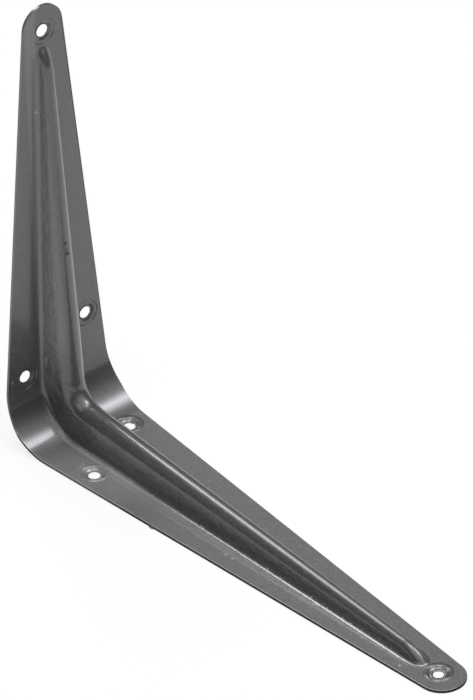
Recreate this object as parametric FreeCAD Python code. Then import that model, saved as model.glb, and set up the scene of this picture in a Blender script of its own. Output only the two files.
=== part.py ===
import FreeCAD, Part
import math
import os

# An angle bracket pressed from one piece of sheet steel, in millimetres.
# The origin is where the two outer faces would meet on the centre plane.
# X runs along the long leg, Z up the short leg, and Y across the sheet.

Vector = FreeCAD.Vector

# Sheet and legs
SHEET = 1.2
LONG_LEG = 250.0
SHORT_LEG = 200.0
BEND_RADIUS = 24.0
CORNER_WIDTH = 56.0
TIP_WIDTH = 20.0
SHORT_TIP_SHIFT = 0.7

# Hollow rib, raised on the inside of the angle
CREST_BEND_RADIUS = 8.2
RIB_HEIGHT_AT_TIP = 5.4
CROWN_RADIUS_AT_BEND = 6.0
CROWN_RADIUS_AT_TIP = 2.8
RIB_DRAFT_DEGREES = 15.0
FOOT_RADIUS = 2.0
NOSE_RADIUS = 20.0

# Screw holes, each in a dished seat pressed into the inner face
HOLE_DIAMETER = 6.2
SEAT_DIAMETER = 12.0
SEAT_EDGE_DEPTH = 0.3
SEAT_EDGE_WIDTH = 0.3
CONE_DIAMETER = 8.4
CONE_DEPTH = 0.8
TIP_HOLE_FROM_END = 12.0
HOLE_PAST_BEND = 3.0
HOLE_STAGGER = 17.0
SEAT_TO_RIB = 0.2
NOSE_TO_SEAT = 1.1

# Sizes that follow from those above
draft = math.radians(RIB_DRAFT_DEGREES)
rib_height = BEND_RADIUS - SHEET - CREST_BEND_RADIUS
near_hole = BEND_RADIUS + HOLE_PAST_BEND
far_hole = near_hole + HOLE_STAGGER
nose_from_end = TIP_HOLE_FROM_END + SEAT_DIAMETER / 2 + NOSE_TO_SEAT
margin = 2 * SHEET
bend_centre = Vector(BEND_RADIUS, 0, BEND_RADIUS)
reach = LONG_LEG + SHORT_LEG

# Spans that the crown of a leg's rib is laid out in, and the play in telling where an edge lies
CREST_SPANS = 5
PLAY = 0.02


def rib_foot_half_width():
    """Half the width across the feet of the rib at the bend, with their rounding."""
    wall_top = CROWN_RADIUS_AT_BEND * math.cos(draft)
    wall_drop = rib_height - CROWN_RADIUS_AT_BEND * (1 - math.sin(draft))
    rounding = FOOT_RADIUS * math.tan((math.pi / 2 - draft) / 2)
    return wall_top + wall_drop * math.tan(draft) + rounding


hole_side = rib_foot_half_width() + SEAT_TO_RIB + SEAT_DIAMETER / 2


def across(wire):
    """Fill a wire in the centre plane and extrude it to both sides, wider than the sheet."""
    solid = Part.Face(wire).extrude(Vector(0, 2 * CORNER_WIDTH, 0))
    solid.translate(Vector(0, -CORNER_WIDTH, 0))
    return solid


def bend_arc(depth):
    """The bend's arc in the centre plane, at a depth below the outer face."""
    radius = BEND_RADIUS - depth
    middle = BEND_RADIUS - radius * math.sqrt(0.5)
    return Part.Arc(Vector(depth, 0, BEND_RADIUS), Vector(middle, 0, middle), Vector(BEND_RADIUS, 0, depth))


def closed_wire(points, arc):
    """An arc with straight lines from its end, through the points, back to its start."""
    edges = [arc.toShape()]
    chain = [arc.EndPoint] + points + [arc.StartPoint]
    for start, end in zip(chain, chain[1:]):
        edges.append(Part.LineSegment(start, end).toShape())
    return Part.Wire(edges)


def inner_side(depth):
    """All the room on the inside of the angle, from a depth below the outer faces."""
    corners = [Vector(reach, 0, depth), Vector(reach, 0, reach), Vector(depth, 0, reach)]
    return across(closed_wire(corners, bend_arc(depth)))


def stand_up(leg):
    """Half a turn about the angle's diagonal, which lays the long leg on the short one, sides swapped."""
    leg.rotate(Vector(0, 0, 0), Vector(1, 0, 1), 180)
    return leg


def touch_point(corner, centre, radius, turn_way):
    """Where a line from a corner touches a circle, on the side given by the way of turning."""
    gap = corner - centre
    turn = math.atan2(gap.y, gap.x) + turn_way * math.acos(radius / gap.Length)
    return centre + Vector(math.cos(turn), math.sin(turn), 0) * radius


def leg_outline(length, tip_shift):
    """All the room over the outline of a leg: straight sides that narrow to a round tip they touch."""
    half = CORNER_WIDTH / 2
    tip = TIP_WIDTH / 2
    centre = Vector(length - tip, tip_shift, 0)
    left = Vector(0, half, 0)
    right = Vector(0, -half, 0)
    start = touch_point(right, centre, tip, 1)
    arc = Part.Arc(start, centre + Vector(tip, 0, 0), touch_point(left, centre, tip, -1))
    corners = [left, Vector(-margin, half, 0), Vector(-margin, -half, 0), right]
    outline = Part.Face(closed_wire(corners, arc))
    return outline.extrude(Vector(0, 0, reach))


def blank():
    """The sheet folded to a right angle with a large radius, and cut to the outlines of both legs."""
    folded = inner_side(0).cut(inner_side(SHEET))
    upright = stand_up(leg_outline(SHORT_LEG, -SHORT_TIP_SHIFT))
    return folded.common(leg_outline(LONG_LEG, 0)).common(upright)


def rib_section(crest, rise, radius, depth):
    """Section of the rib square to its crest: a round crown on two drafted walls."""
    wall_y = radius * math.cos(draft)
    wall_drop = radius * (1 - math.sin(draft))
    foot_y = wall_y + (depth - wall_drop) * math.tan(draft)

    def at(y, drop):
        return crest + Vector(0, y, 0) - rise * drop

    crown = Part.Arc(at(-wall_y, wall_drop), crest, at(wall_y, wall_drop))
    return closed_wire([at(foot_y, depth), at(-foot_y, depth)], crown)


def tapered_solid(sections):
    """Solid through like wires in a row: flat between straight edges, ruled between arcs."""
    faces = [Part.Face(sections[0]), Part.Face(sections[-1])]
    for first, last in zip(sections, sections[1:]):
        for edge, far_edge in zip(first.Edges, last.Edges):
            if edge.Curve.TypeId == "Part::GeomLine":
                ends = [edge.Vertexes[0], edge.Vertexes[1], far_edge.Vertexes[1], far_edge.Vertexes[0]]
                points = [end.Point for end in ends]
                faces.append(Part.Face(Part.makePolygon(points + [points[0]])))
            else:
                faces.append(Part.makeRuledSurface(edge, far_edge))
    return Part.Solid(Part.Shell(faces)).removeSplitter()


def crest_line(length):
    """Centre of the nose circle, and the slope of the straight crest from it to the bend.

    The line touches the nose circle and the circle that the crest follows in the bend.
    """
    nose_back = math.sqrt(NOSE_RADIUS ** 2 - (NOSE_RADIUS - RIB_HEIGHT_AT_TIP) ** 2)
    nose_level = SHEET + RIB_HEIGHT_AT_TIP - NOSE_RADIUS
    nose = Vector(length - nose_from_end - nose_back, 0, nose_level)
    gap = nose - bend_centre
    slope = math.atan2(-gap.z, gap.x) - math.asin((CREST_BEND_RADIUS + NOSE_RADIUS) / gap.Length)
    return nose, slope


def leg_rib(length, inset):
    """The rib on a leg that lies along X, drawn in from its outside by the inset."""
    nose, slope = crest_line(length)
    rise = Vector(math.sin(slope), 0, math.cos(slope))
    tip = nose + rise * (NOSE_RADIUS - inset)
    root = bend_centre - rise * (CREST_BEND_RADIUS + inset)
    sections = []
    for span in range(CREST_SPANS + 1):
        share = span / CREST_SPANS
        crest = tip + (root - tip) * share
        radius = CROWN_RADIUS_AT_TIP + (CROWN_RADIUS_AT_BEND - CROWN_RADIUS_AT_TIP) * share - inset
        sections.append(rib_section(crest, rise, radius, crest.z + margin))
    steepest = math.acos((-SHEET - nose.z) / NOSE_RADIUS)
    dive = Part.Face(sections[0]).revolve(nose, Vector(0, 1, 0), math.degrees(steepest - slope))
    return tapered_solid(sections).fuse(dive)


def bend_rib(inset):
    """The rib round the bend, between the legs' sloping crests."""
    start = crest_line(LONG_LEG)[1]
    end = math.pi / 2 - crest_line(SHORT_LEG)[1]
    rise = Vector(math.sin(start), 0, math.cos(start))
    crest = bend_centre - rise * (CREST_BEND_RADIUS + inset)
    section = Part.Face(rib_section(crest, rise, CROWN_RADIUS_AT_BEND - inset, crest.z + margin))
    return section.revolve(bend_centre, Vector(0, 1, 0), math.degrees(end - start))


def whole_rib(inset):
    """The rib as one solid from tip to tip, drawn in from its outside by the inset."""
    upright = stand_up(leg_rib(SHORT_LEG, inset))
    return leg_rib(LONG_LEG, inset).fuse(bend_rib(inset)).fuse(upright)


def depth_in_sheet(point):
    """How far a point lies below the outer face."""
    if point.x >= BEND_RADIUS:
        return point.z
    if point.z >= BEND_RADIUS:
        return point.x
    return BEND_RADIUS - math.hypot(point.x - BEND_RADIUS, point.z - BEND_RADIUS)


def rib_edges(body, rib, depth):
    """The edges of the body that lie on the rib's skin at this depth."""
    found = []
    for edge in body.Edges:
        span = edge.LastParameter - edge.FirstParameter
        points = [edge.valueAt(edge.FirstParameter + span * share) for share in (0.1, 0.5, 0.9)]
        level = all(abs(depth_in_sheet(point) - depth) < PLAY for point in points)
        if level and all(rib.isInside(point, PLAY, True) for point in points):
            found.append(edge)
    return found


def press_rib(sheet):
    """Raise the rib on the inside, hollow it from behind, and round its feet on both faces."""
    rib = whole_rib(0)
    hollow = whole_rib(SHEET)
    body = sheet.fuse(rib.common(inner_side(SHEET / 2))).cut(hollow)
    body = body.makeFillet(FOOT_RADIUS, rib_edges(body, rib, SHEET))
    return body.makeFillet(FOOT_RADIUS + SHEET, rib_edges(body, hollow, 0))


def hole_cutter():
    """Seat and hole as one turned shape on the Z axis, with the inner face at height zero."""
    seat = SEAT_DIAMETER / 2
    cone = CONE_DIAMETER / 2
    hole = HOLE_DIAMETER / 2
    outline = [Vector(0, 0, margin), Vector(seat, 0, margin), Vector(seat, 0, 0),
               Vector(seat - SEAT_EDGE_WIDTH, 0, -SEAT_EDGE_DEPTH), Vector(cone, 0, -SEAT_EDGE_DEPTH),
               Vector(hole, 0, -CONE_DEPTH), Vector(hole, 0, -SHEET - margin), Vector(0, 0, -SHEET - margin)]
    profile = Part.Face(Part.makePolygon(outline + [outline[0]]))
    return profile.revolve(Vector(0, 0, 0), Vector(0, 0, 1), 360)


def leg_holes(length, tip_shift):
    """Cutters for a leg along X: one hole at the tip and two staggered on either side of the rib."""
    cutters = []
    places = [(length - TIP_HOLE_FROM_END, tip_shift), (near_hole, hole_side), (far_hole, -hole_side)]
    for along, side in places:
        cutter = hole_cutter()
        cutter.translate(Vector(along, side, SHEET))
        cutters.append(cutter)
    return Part.makeCompound(cutters)


def bracket():
    """The finished bracket."""
    upright_holes = stand_up(leg_holes(SHORT_LEG, -SHORT_TIP_SHIFT))
    return press_rib(blank()).cut(leg_holes(LONG_LEG, 0)).cut(upright_holes)


os.makedirs("parts", exist_ok=True)
shape = bracket()
print("valid", shape.isValid(), "solids", len(shape.Solids), "volume", round(shape.Volume, 1))
shape.exportStep("parts/bracket.step")
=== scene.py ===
import math

import bpy
from mathutils import Matrix, Vector


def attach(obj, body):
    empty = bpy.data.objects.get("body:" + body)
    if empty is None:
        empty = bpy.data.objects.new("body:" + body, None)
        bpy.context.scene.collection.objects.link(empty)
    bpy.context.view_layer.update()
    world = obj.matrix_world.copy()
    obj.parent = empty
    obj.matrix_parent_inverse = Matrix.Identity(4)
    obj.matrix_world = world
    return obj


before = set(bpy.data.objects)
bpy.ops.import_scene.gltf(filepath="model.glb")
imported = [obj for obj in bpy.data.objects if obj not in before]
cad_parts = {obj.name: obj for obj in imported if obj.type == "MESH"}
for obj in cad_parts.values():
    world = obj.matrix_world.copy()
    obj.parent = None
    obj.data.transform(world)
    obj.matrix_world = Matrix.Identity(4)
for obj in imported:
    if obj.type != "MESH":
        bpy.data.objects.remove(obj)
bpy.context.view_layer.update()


# Enamel
# Thin dark grey gloss enamel, dipped and baked over the whole steel pressing. It has a fine grain and a soft orange
# peel, is crinkled where the steel stretched up the rib, stands up in a ring round each screw hole, and has dark cut
# faces at the edges of the sheet, with a pale burr and a painted highlight on the long leg's left edge. Lengths are in
# metres.
class Signal:
    """A node's output socket that can be used in sums and products."""

    tree = None

    def __init__(self, socket):
        self.socket = socket

    @classmethod
    def node(cls, kind, values=(), output=0, **settings):
        """Any node: its settings first, then the values or links of its sockets."""
        made = cls.tree.nodes.new(kind)
        for name, value in settings.items():
            setattr(made, name, value)
        for name, value in dict(values).items():
            if isinstance(value, Signal):
                cls.tree.links.new(value.socket, made.inputs[name])
            else:
                made.inputs[name].default_value = value
        return Signal(made.outputs[output])

    def maths(self, operation, *others):
        return Signal.node("ShaderNodeMath", dict(enumerate((self,) + others)), operation=operation)

    def __add__(self, other):
        return self.maths("ADD", other)

    def __radd__(self, other):
        return self.maths("ADD", other)

    def __mul__(self, other):
        return self.maths("MULTIPLY", other)

    def __rmul__(self, other):
        return self.maths("MULTIPLY", other)

    def __sub__(self, other):
        return self.maths("SUBTRACT", other)

    def __rsub__(self, other):
        return Signal.node("ShaderNodeMath", {0: other, 1: self}, operation="SUBTRACT")

    def ramp(self, clear, full):
        """A smooth step: 0 up to the first level, 1 from the second one on."""
        levels = {"Value": self, "From Min": clear, "From Max": full}
        return Signal.node("ShaderNodeMapRange", levels, interpolation_type="SMOOTHSTEP")


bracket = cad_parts["bracket"]
enamel = bpy.data.materials.new("enamel")
enamel.use_nodes = True
shader = enamel.node_tree.nodes["Principled BSDF"]
shader.inputs["IOR"].default_value = 1.65
shader.inputs["Coat Roughness"].default_value = 0.12
Signal.tree = enamel.node_tree
place = Signal.node("ShaderNodeTexCoord", output="Object")
x, y, z = (Signal.node("ShaderNodeSeparateXYZ", {0: place}, output=axis) for axis in "XYZ")
side = y.maths("ABSOLUTE")
left = y.ramp(0.0, -0.002)
on_long = (x - z).ramp(-0.004, 0.004)

# How high a point stands over the outer face, also round the bend
bend_radius = 0.024
before_x = (bend_radius - x).maths("MAXIMUM", 0.0)
before_z = (bend_radius - z).maths("MAXIMUM", 0.0)
height = bend_radius - (before_x * before_x + before_z * before_z).maths("SQRT")
flat_long = height.ramp(0.0028, 0.0018) * on_long

# How far a point lies in from the straight or round cut edge of its leg
corner_half_width, long_taper, short_taper = 0.028, 0.0747, 0.0953
tip_radius, long_tip_middle, short_tip_middle, short_tip_shift = 0.010, 0.240, 0.190, 0.0007
long_half = corner_half_width - x * long_taper
short_half = corner_half_width - z * short_taper
straight = short_half + (long_half - short_half) * on_long - side
long_past, short_past, short_off = x - long_tip_middle, z - short_tip_middle, y - short_tip_shift
long_round = tip_radius - (long_past * long_past + y * y).maths("SQRT")
short_round = tip_radius - (short_past * short_past + short_off * short_off).maths("SQRT")
round_tip = short_round + (long_round - short_round) * on_long
straight_ends, round_starts = 0.0005, 0.0009
at_tip = long_past.ramp(straight_ends, round_starts).maths("MAXIMUM", short_past.ramp(straight_ends, round_starts))
inset = straight + (round_tip - straight) * at_tip
cut_face, paint_starts, burr_inside, burr_ends = 0.00004, 0.00012, 0.0002, 0.0005
edge_face = inset.ramp(paint_starts, cut_face)
# A pale burr along the top corner of the cut edge, made brighter as a painted highlight
burr_and_painted_highlight = inset.ramp(burr_ends, burr_inside) * inset.ramp(cut_face, paint_starts)

# The rib's left wall, how far a point of the flat part is from the rib's foot, and the line along that foot
rib_foot_at_corner, foot_taper, foot_taper_starts = 0.0098, 0.030, 0.040
left_wall = height.ramp(0.0020, 0.0034) * y.ramp(-0.0015, -0.0035)
clear_of_foot = side - (rib_foot_at_corner - (x.maths("MAXIMUM", z) - foot_taper_starts) * foot_taper)
foot_line_sharpness = -1400000.0
foot_line = (clear_of_foot * clear_of_foot * foot_line_sharpness).maths("EXPONENT") * flat_long * x.ramp(0.224, 0.216)


def noise(scale, detail=2.0, stretch=(1.0, 1.0, 1.0)):
    """Fine noise on the object's own coordinates, about zero."""
    drawn = Signal.node("ShaderNodeMapping", {"Vector": place, "Scale": stretch})
    return Signal.node("ShaderNodeTexNoise", {"Vector": drawn, "Scale": scale, "Detail": detail}) - 0.5


def seat(along, across, hole_along, hole_across):
    """The raised ring of thick enamel in one screw seat: 1 on its crest and 0 at its feet."""
    ring_radius, ring_slope = 0.0050, 0.0011
    a, b = along - hole_along, across - hole_across
    away = (a * a + b * b).maths("SQRT")
    return (1 - (away - ring_radius).maths("ABSOLUTE") * (1 / ring_slope)).maths("MAXIMUM", 0.0)


def spot(at_x, at_y, at_z, size):
    """A small mark with a soft edge."""
    a, b, c = x - at_x, y - at_y, z - at_z
    return ((a * a + b * b + c * c) * (-1.0 / size ** 2)).maths("EXPONENT")


# Screw seats: the holes stand off the middle line by hole_side, and the long leg's rings lie a little askew
long_tip_hole, short_tip_hole, near_hole, far_hole, hole_side = 0.238, 0.188, 0.027, 0.044, 0.01625
askew, short_ring_share = 0.0006, 0.35
long_seats = seat(x, y, long_tip_hole - askew, askew) + seat(x, y, near_hole - askew, hole_side + askew)
long_seats = long_seats + seat(x, y, far_hole - askew, askew - hole_side)
short_seats = seat(z, y, short_tip_hole, short_tip_shift) + seat(z, y, far_hole, hole_side)
short_seats = short_seats + seat(z, y, near_hole, -hole_side)
over_face, on_face = 0.0022, 0.0016
seats = long_seats * z.ramp(over_face, on_face) + short_seats * x.ramp(over_face, on_face) * short_ring_share
calm = seats.ramp(0.0, 0.25)

# Relief: grain, orange peel, crinkles on the stretched wall, pimples along the foot, and rubbed curved scratches
grain = noise(2000.0)
peel = noise(520.0, 1.0)
crinkle = noise(620.0, 2.0, (0.45, 1.0, 0.45))
pimple = noise(900.0, 0.0).ramp(0.10, 0.22)
arcs = Signal.node("ShaderNodeMapping", {"Vector": place, "Location": (0.0, 0.045, -0.045)})
waves = {"Vector": arcs, "Scale": 330.0, "Distortion": 1.5, "Detail": 2.0, "Detail Scale": 3.0}
scratch = Signal.node("ShaderNodeTexWave", waves, wave_type="RINGS", rings_direction="X")
rubbed = left_wall * z.ramp(0.055, 0.070) * z.ramp(0.100, 0.085)
grain_depth, peel_depth, scratch_depth, smoothed_in_seats = 0.000028, 0.00004, 0.000035, 0.95
crinkle_depth, pimple_height, ring_height = 0.0006, 0.0004, 0.00042
relief = scratch * rubbed * scratch_depth
relief = relief + (grain * grain_depth + peel * peel_depth) * (1 - calm * smoothed_in_seats)
relief = relief + crinkle * left_wall * crinkle_depth
relief = relief + pimple * foot_line * pimple_height + seats * ring_height
bump = Signal.node("ShaderNodeBump", {"Height": relief, "Distance": 1.0, "Strength": 1.0})
enamel.node_tree.links.new(bump.socket, shader.inputs["Normal"])

# Painted light: lighter colour on the long leg's left flange near the corner and beside the rib, and on the short
# rib's left wall
corner_light, band_light, wall_light = 0.13, 0.07, 0.055
line_light, pimple_light, corner_line_light = 0.06, 0.22, 0.12
near_corner = on_long * y.ramp(-0.006, -0.008) * height.ramp(0.0024, 0.0016)
near_corner = near_corner * x.ramp(0.080, 0.045) * x.ramp(0.012, 0.03)
band_taper, band_ends, band_full = 0.0165, 0.0054, 0.0038
foot_band = (clear_of_foot + x * band_taper).ramp(band_ends, band_full) * clear_of_foot.ramp(-0.0004, 0.0002)
foot_band = foot_band * flat_long * left * x.ramp(0.03, 0.05) * x.ramp(0.228, 0.215)
# Painted highlight along the rib's foot on the long leg, brighter on the pimples and near the corner
painted_foot_highlight = foot_line * left * (line_light + pimple * pimple_light + x.ramp(0.13, 0.05) * corner_line_light)
upright_wall = z.ramp(0.030, 0.050) * y.ramp(-0.0022, -0.0045) * y.ramp(-0.0098, -0.0082)
# All of this is painted light, added to the enamel's colour
painted_light = near_corner * corner_light + foot_band * band_light + painted_foot_highlight + upright_wall * wall_light

# Chips on the short leg's rib, and specks of dust
chips = spot(0.0114, -0.0006, 0.0914, 0.0006) + spot(0.0118, -0.0001, 0.0864, 0.0008)
chips = (chips + spot(0.0116, -0.0004, 0.0884, 0.0004)).maths("MINIMUM", 1.0)
dust = spot(0.1221, -0.0119, 0.0012, 0.0005) + spot(0.1260, -0.0116, 0.0012, 0.0005)
dust = dust + spot(0.2241, -0.0082, 0.0012, 0.0006) + spot(0.0012, -0.0233, 0.0273, 0.0005)
dust = dust + spot(0.0013, -0.0050, 0.1518, 0.0005)

# Colour, roughness and coat
grey, grain_tone, more_on_long, evened_in_seats, peel_tone = 0.070, 0.10, 0.06, 0.8, 0.02
burr_highlight_tone, cut_dark, chip_dark, dust_light = 0.30, 0.045, 0.9, 0.25
tone = grey + grain * (grain_tone + on_long * more_on_long) * (1 - calm * evened_in_seats) + peel * peel_tone
# The pale burr with its painted highlight, and the painted light, are added to the colour here
tone = tone + burr_and_painted_highlight * on_long * left * burr_highlight_tone - edge_face * cut_dark + painted_light
tone = tone * (1 - chips * chip_dark) + dust * dust_light
warm = Signal.node("ShaderNodeCombineColor", {0: tone * 1.01, 1: tone, 2: tone * 0.985})
enamel.node_tree.links.new(warm.socket, shader.inputs["Base Color"])
plain, grain_roughness, cut_roughness, chip_roughness, gloss_in_seats = 0.34, 0.12, 0.25, 0.5, 0.10
dull = plain + grain * grain_roughness + edge_face * cut_roughness + chips * chip_roughness
dull = dull - calm * on_long * gloss_in_seats
enamel.node_tree.links.new(dull.socket, shader.inputs["Roughness"])
coat = 1 - chips.ramp(0.2, 0.6)
enamel.node_tree.links.new(coat.socket, shader.inputs["Coat Weight"])
bracket.material_slots[0].material = enamel

# Lips of paint
# Punching leaves a burr round each screw hole, and the enamel gathers on it as a ragged lip that narrows the hole.
# Each lip is a flattened ring of enamel inside the sheet's thickness, stuck to the hole's wall.
lip_radius, lip_half_height, lip_level, raggedness = 0.0030, 0.0003, 0.00042, 0.00016
lips = (("lip_long_tip", long_tip_hole, 0.0, False, 0.00085),
        ("lip_long_near", near_hole, hole_side, False, 0.0005),
        ("lip_long_far", far_hole, -hole_side, False, 0.0005),
        ("lip_short_tip", short_tip_hole, short_tip_shift, True, 0.0003),
        ("lip_short_far", far_hole, hole_side, True, 0.0004),
        ("lip_short_near", near_hole, -hole_side, True, 0.0004))
on_end = Matrix.Rotation(math.radians(90.0), 4, "Y")
for number, (name, along, across, upright, width) in enumerate(lips):
    bpy.ops.object.select_all(action="DESELECT")
    bpy.ops.mesh.primitive_torus_add(major_radius=lip_radius, minor_radius=width, major_segments=40, minor_segments=10)
    lip = bpy.context.object
    lip.name = name
    bpy.ops.object.mode_set(mode="EDIT")
    bpy.ops.mesh.select_all(action="SELECT")
    bpy.ops.transform.resize(value=(1.0, 1.0, lip_half_height / width))
    bpy.ops.transform.vertex_random(offset=raggedness, uniform=0.2, seed=number + 1)
    bpy.ops.mesh.vertices_smooth(factor=0.5, repeat=1)
    bpy.ops.mesh.normals_make_consistent(inside=False)
    bpy.ops.object.mode_set(mode="OBJECT")
    if upright:
        lip.data.transform(Matrix.Translation((lip_level, across, along)) @ on_end)
    else:
        lip.data.transform(Matrix.Translation((along, across, lip_level)))
    bpy.ops.object.shade_smooth()
    lip.data.materials.append(enamel)
    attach(lip, "root")

# Run of paint
# One drop of enamel that dried at the cut edge of the long leg, where the bracket hung while it was baked.
# It is a soft flat lump that clings to the edge's lower corner.
drop_radius, drop_shape, drop_place = 0.001, (1.7, 0.75, 0.42), (0.0872, -0.02165, 0.00046)
bpy.ops.object.select_all(action="DESELECT")
bpy.ops.mesh.primitive_ico_sphere_add(subdivisions=3, radius=drop_radius, location=(0.0, 0.0, 0.0))
run = bpy.context.object
run.name = "paint_run"
bpy.ops.object.mode_set(mode="EDIT")
bpy.ops.mesh.select_all(action="SELECT")
bpy.ops.transform.resize(value=drop_shape)
bpy.ops.transform.vertex_random(offset=0.00010, uniform=0.5, seed=11)
bpy.ops.mesh.vertices_smooth(factor=0.5, repeat=3)
bpy.ops.mesh.normals_make_consistent(inside=False)
bpy.ops.object.mode_set(mode="OBJECT")
run.data.transform(Matrix.Translation(drop_place))
bpy.ops.object.shade_smooth()
run.data.materials.append(enamel)
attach(run, "root")

# Floor
# Matt white paper that the bracket stands on. The camera sees it as white with the bracket's soft shadow on it. Its
# mirror image in the enamel is a little warm, painted lighter towards the camera, and has a painted shadow right
# beside the long leg, where the bracket shades the paper.
bpy.ops.object.select_all(action="DESELECT")
bpy.ops.mesh.primitive_plane_add(size=20.0, location=(0.0, 0.0, 0.0))
floor = bpy.context.object
floor.name = "floor"
white = bpy.data.materials.new("floor")
white.use_nodes = True
white.node_tree.nodes.clear()
Signal.tree = white.node_tree
ground = Signal.node("ShaderNodeNewGeometry")
ground_x, ground_y = (Signal.node("ShaderNodeSeparateXYZ", {0: ground}, output=axis) for axis in "XY")
beside = ground_y.maths("ABSOLUTE") + ground_x * long_taper
# Painted shadow in the paper's mirror image beside the long leg
shaded = beside.ramp(0.040, 0.029) * ground_x.ramp(-0.012, 0.0) * ground_x.ramp(0.262, 0.250)
mirrored_paper, lighter_in_front, shade_depth = 0.84, 0.04, 0.9
paper = (mirrored_paper + ground_y.ramp(-0.06, -0.14) * lighter_in_front) * (1 - shaded * shade_depth)
paper_colour = Signal.node("ShaderNodeCombineColor", {0: paper, 1: paper * 0.985, 2: paper * 0.955})
matt = Signal.node("ShaderNodeBsdfDiffuse", {"Color": (0.9, 0.9, 0.9, 1.0)})
glow = Signal.node("ShaderNodeEmission", {"Color": (1.0, 1.0, 1.0, 1.0), "Strength": 1.0})
paper_glow = Signal.node("ShaderNodeEmission", {"Color": paper_colour, "Strength": 1.0})
seen = Signal.node("ShaderNodeLightPath", output="Is Camera Ray")
mirrored = Signal.node("ShaderNodeLightPath", output="Is Glossy Ray")
plain_white = 0.8
lit = Signal.node("ShaderNodeMixShader", {0: seen * plain_white, 1: matt, 2: glow})
mixed = Signal.node("ShaderNodeMixShader", {0: mirrored, 1: lit, 2: paper_glow})
surface = white.node_tree.nodes.new("ShaderNodeOutputMaterial")
white.node_tree.links.new(mixed.socket, surface.inputs["Surface"])
white.cycles.emission_sampling = "NONE"
floor.data.materials.append(white)

# Studio
# Soft round lights in a light tent, as the camera sees them: a key light high on the right, a long window beyond the
# short leg, a ceiling overhead, and weak fill from the camera's side, the left and the right. The tent shows as white.
world = bpy.data.worlds.new("world")
world.use_nodes = True
world.node_tree.nodes.clear()
Signal.tree = world.node_tree
heading = Signal.node("ShaderNodeTexCoord", output="Generated")


def lobe(azimuth, elevation, strength, width):
    """A soft round light, a bell curve over the angle from its middle; all but the strength are in degrees."""
    turned, raised, spread = math.radians(azimuth), math.radians(elevation), math.radians(width) ** 2 / 2
    middle = (math.cos(raised) * math.cos(turned), math.cos(raised) * math.sin(turned), math.sin(raised))
    towards = Signal.node("ShaderNodeVectorMath", {0: heading, 1: middle}, output="Value", operation="DOT_PRODUCT")
    return ((towards - 1.0) * (1.0 / spread)).maths("EXPONENT") * strength


key = lobe(77, 62, 9.5, 10) + lobe(76, 63, 0.8, 22)
window = lobe(153, 45, 8.0, 6) + lobe(165, 48, 9.0, 7) + lobe(176, 49, 6.0, 7) + lobe(138, 31, 0.25, 14)
ceiling = lobe(300, 81, 0.9, 19) + lobe(155, 77, 11.0, 8)
camera_fill = lobe(280, 50, 1.2, 17) + lobe(350, 50, 0.9, 22)
left_fill, right_fill = lobe(214, 24, 0.5, 9), lobe(30, 50, 0.9, 17)
room = 0.03
light = key + window + ceiling + camera_fill + left_fill + right_fill + room
seen = Signal.node("ShaderNodeLightPath", output="Is Camera Ray")
shown = light * (1 - seen) + seen
cool = Signal.node("ShaderNodeCombineColor", {0: 0.985 + seen * 0.015, 1: 1.0, 2: 1.03 - seen * 0.03})
backdrop = Signal.node("ShaderNodeBackground", {"Color": cool, "Strength": shown})
surface = world.node_tree.nodes.new("ShaderNodeOutputWorld")
world.node_tree.links.new(backdrop.socket, surface.inputs["Surface"])
bpy.context.scene.world = world
bpy.context.scene.view_settings.view_transform = "Standard"

# Camera
# It stands on the open side of the angle, about 3 m away with a long lens, and looks down at the inner faces.
# Its place and turn were fitted to the outlines, the bend and the holes in the photo.
camera_data = bpy.data.cameras.new("camera")
camera_data.sensor_width = 36.0
camera_data.sensor_fit = "AUTO"
camera_data.lens = 392.86
camera_data.clip_end = 10.0
camera = bpy.data.objects.new("camera", camera_data)
bpy.context.scene.collection.objects.link(camera)
right = Vector((0.64412788, 0.76453324, -0.02425296))
up = Vector((-0.42613125, 0.3849902, 0.8186542))
back = Vector((0.6352255, -0.51698305, 0.57377443))
turn = Matrix((right, up, back)).transposed()
camera.matrix_world = Matrix.Translation((2.03973346, -1.56377983, 1.8295499)) @ turn.to_4x4()
bpy.context.scene.camera = camera
